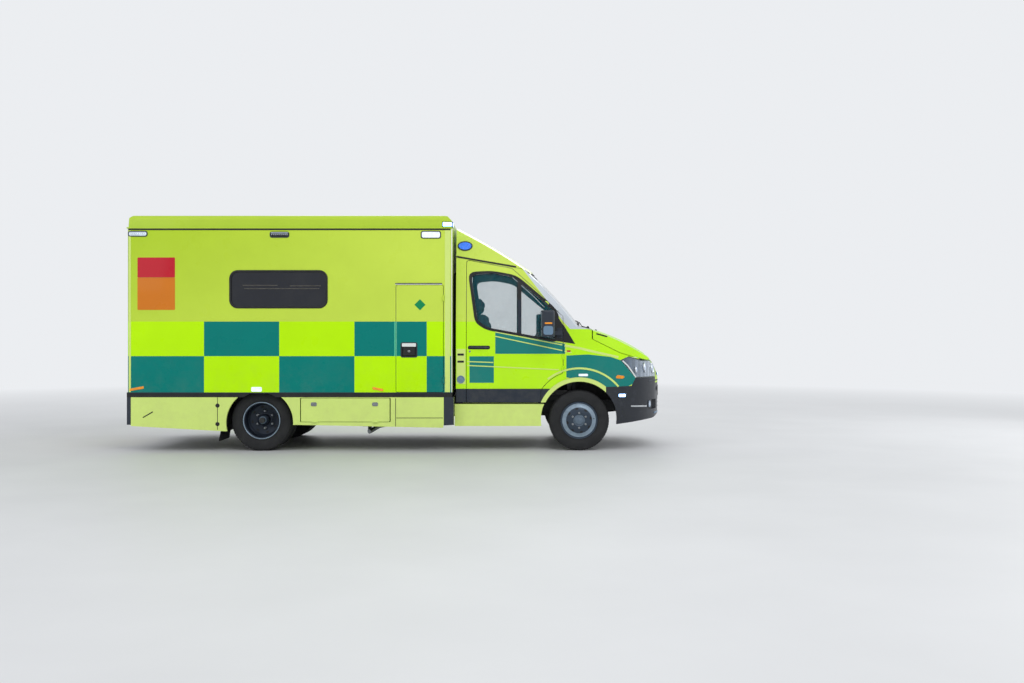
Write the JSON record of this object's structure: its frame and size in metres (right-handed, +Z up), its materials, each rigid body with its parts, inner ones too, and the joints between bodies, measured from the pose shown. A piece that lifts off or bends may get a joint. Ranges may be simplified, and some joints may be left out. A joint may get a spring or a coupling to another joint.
{
  "type": "ambulance",
  "caption": "Box-body ambulance on a van chassis, with lime and green side squares, hinged doors and lids, and steered front wheels.",
  "frame": {"origin": "on the ground, at mid length and mid width", "axes": "+X to the nose, +Y to the vehicle's left, +Z up"},
  "size_m": [6.255, 2.43, 2.7099],
  "materials": {
    "body_paint": "gloss",
    "roof_paint": "gloss",
    "dark_plastic": "satin",
    "clear_lamp": "gloss",
    "window_glass": "gloss",
    "blue_lamp": "gloss",
    "amber_lamp": "gloss",
    "red_lamp": "gloss",
    "chassis_paint": "satin",
    "cast_parts": "rough",
    "bright_steel": "satin",
    "rim_paint": "satin",
    "tyre": "matte",
    "seat_fabric": "matte",
    "inner_trim": "matte",
    "floor_sheet": "satin"
  },
  "bodies": {
    "root": {"box_floor": "floor_sheet", "box_front_wall": "body_paint", "box_rear_frame": "body_paint", "box_roof": "roof_paint", "box_wall_left": "body_paint", "box_wall_right": "body_paint", "box_window": "window_glass", "cab_back": "body_paint", "cab_floor": "inner_trim", "cab_roof": "body_paint", "cab_sides": "body_paint", "chassis_frame": "chassis_paint", "dashboard": "inner_trim", "engine_block": "cast_parts", "exhaust": "bright_steel", "side_lamps": "blue_lamp", "front_bumper": "dark_plastic", "front_suspension": "chassis_paint", "front_wings": "body_paint", "fuel_tank": "dark_plastic", "grille": "dark_plastic", "headlamps": "clear_lamp", "mud_flaps": "dark_plastic", "rear_axle": "cast_parts", "rear_bumper": "dark_plastic", "scuttle": "dark_plastic", "seats": "seat_fabric", "sill_steps": "body_paint", "skirt_left": "body_paint", "skirt_right": "body_paint", "tail_lamps": "red_lamp", "windscreen": "window_glass"},
    "cab_door_left": {"cab_door_left": "body_paint", "cab_glass_left": "window_glass", "door_mirror_left": "dark_plastic"},
    "cab_door_right": {"cab_door_right": "body_paint", "cab_glass_right": "window_glass", "door_mirror_right": "dark_plastic"},
    "bonnet": {"bonnet": "body_paint"},
    "entry_door": {"entry_door": "body_paint", "entry_glass": "window_glass"},
    "locker_door": {"locker_door": "body_paint"},
    "skirt_flap": {"skirt_flap": "body_paint"},
    "rear_door_left": {"rear_door_left": "body_paint", "rear_glass_left": "window_glass"},
    "rear_door_right": {"rear_door_right": "body_paint", "rear_glass_right": "window_glass"},
    "knuckle_left": {"knuckle_left": "cast_parts"},
    "knuckle_right": {"knuckle_right": "cast_parts"},
    "front_wheel_left": {"front_rim_left": "rim_paint", "front_tyre_left": "tyre"},
    "front_wheel_right": {"front_rim_right": "rim_paint", "front_tyre_right": "tyre"},
    "rear_wheels_left": {"rear_rims_left": "rim_paint", "rear_tyres_left": "tyre"},
    "rear_wheels_right": {"rear_rims_right": "rim_paint", "rear_tyres_right": "tyre"},
    "steering_rack": {"steering_rack": "bright_steel"},
    "steering_wheel": {"steering_wheel": "inner_trim"}
  },
  "joints": [
    {"name": "front_left_steer", "type": "hinge", "parent": "root", "child": "knuckle_left", "pos_m": [2.1225, 0.795, 0.35], "axis": [0, 0, 1], "range_deg": [-33, 33]},
    {"name": "front_right_steer", "type": "hinge", "parent": "root", "child": "knuckle_right", "pos_m": [2.1225, -0.795, 0.35], "axis": [0, 0, 1], "range_deg": [-33, 33]},
    {"name": "rack_slide", "type": "slide", "parent": "root", "child": "steering_rack", "axis": [0, 1, 0], "range_m": [-0.082, 0.082]},
    {"name": "steering_wheel_turn", "type": "hinge", "parent": "root", "child": "steering_wheel", "pos_m": [1.5625, -0.43, 1.2], "axis": [-0.848, 0, 0.5299], "range_deg": [-480, 480]},
    {"name": "front_left_spin", "type": "hinge", "parent": "knuckle_left", "child": "front_wheel_left", "pos_m": [2.1225, 0.85, 0.35], "axis": [0, 1, 0], "continuous": true},
    {"name": "front_right_spin", "type": "hinge", "parent": "knuckle_right", "child": "front_wheel_right", "pos_m": [2.1225, -0.85, 0.35], "axis": [0, 1, 0], "continuous": true},
    {"name": "rear_left_spin", "type": "hinge", "parent": "root", "child": "rear_wheels_left", "pos_m": [-1.5425, 0.7725, 0.35], "axis": [0, 1, 0], "continuous": true},
    {"name": "rear_right_spin", "type": "hinge", "parent": "root", "child": "rear_wheels_right", "pos_m": [-1.5425, -0.7725, 0.35], "axis": [0, 1, 0], "continuous": true},
    {"name": "cab_door_left_open", "type": "hinge", "parent": "root", "child": "cab_door_left", "pos_m": [1.9355, 1, 1.1], "axis": [0, 0, -1], "range_deg": [0, 65]},
    {"name": "cab_door_right_open", "type": "hinge", "parent": "root", "child": "cab_door_right", "pos_m": [1.9355, -1, 1.1], "axis": [0, 0, 1], "range_deg": [0, 65]},
    {"name": "bonnet_open", "type": "hinge", "parent": "root", "child": "bonnet", "pos_m": [2.2725, 0, 1.402], "axis": [0, -1, 0], "range_deg": [0, 55]},
    {"name": "entry_door_open", "type": "hinge", "parent": "root", "child": "entry_door", "pos_m": [0.5255, 1.084, 1.5], "axis": [0, 0, -1], "range_deg": [0, 95]},
    {"name": "locker_door_open", "type": "hinge", "parent": "root", "child": "locker_door", "pos_m": [0.5615, -1.084, 1.3], "axis": [0, 0, 1], "range_deg": [0, 100]},
    {"name": "skirt_flap_open", "type": "hinge", "parent": "root", "child": "skirt_flap", "pos_m": [-0.5615, -1.082, 0.342], "axis": [1, 0, 0], "range_deg": [0, 110]},
    {"name": "rear_door_left_open", "type": "hinge", "parent": "root", "child": "rear_door_left", "pos_m": [-3.0705, 0.703, 1.5], "axis": [0, 0, -1], "range_deg": [0, 165]},
    {"name": "rear_door_right_open", "type": "hinge", "parent": "root", "child": "rear_door_right", "pos_m": [-3.0705, -0.703, 1.5], "axis": [0, 0, 1], "range_deg": [0, 165]}
  ],
  "couplings": [
    {"joint": "front_right_steer", "follows": "front_left_steer", "ratio": 1},
    {"joint": "rack_slide", "follows": "front_left_steer", "m_per_rad": -0.14184},
    {"joint": "steering_wheel_turn", "follows": "front_left_steer", "ratio": 14}
  ]
}
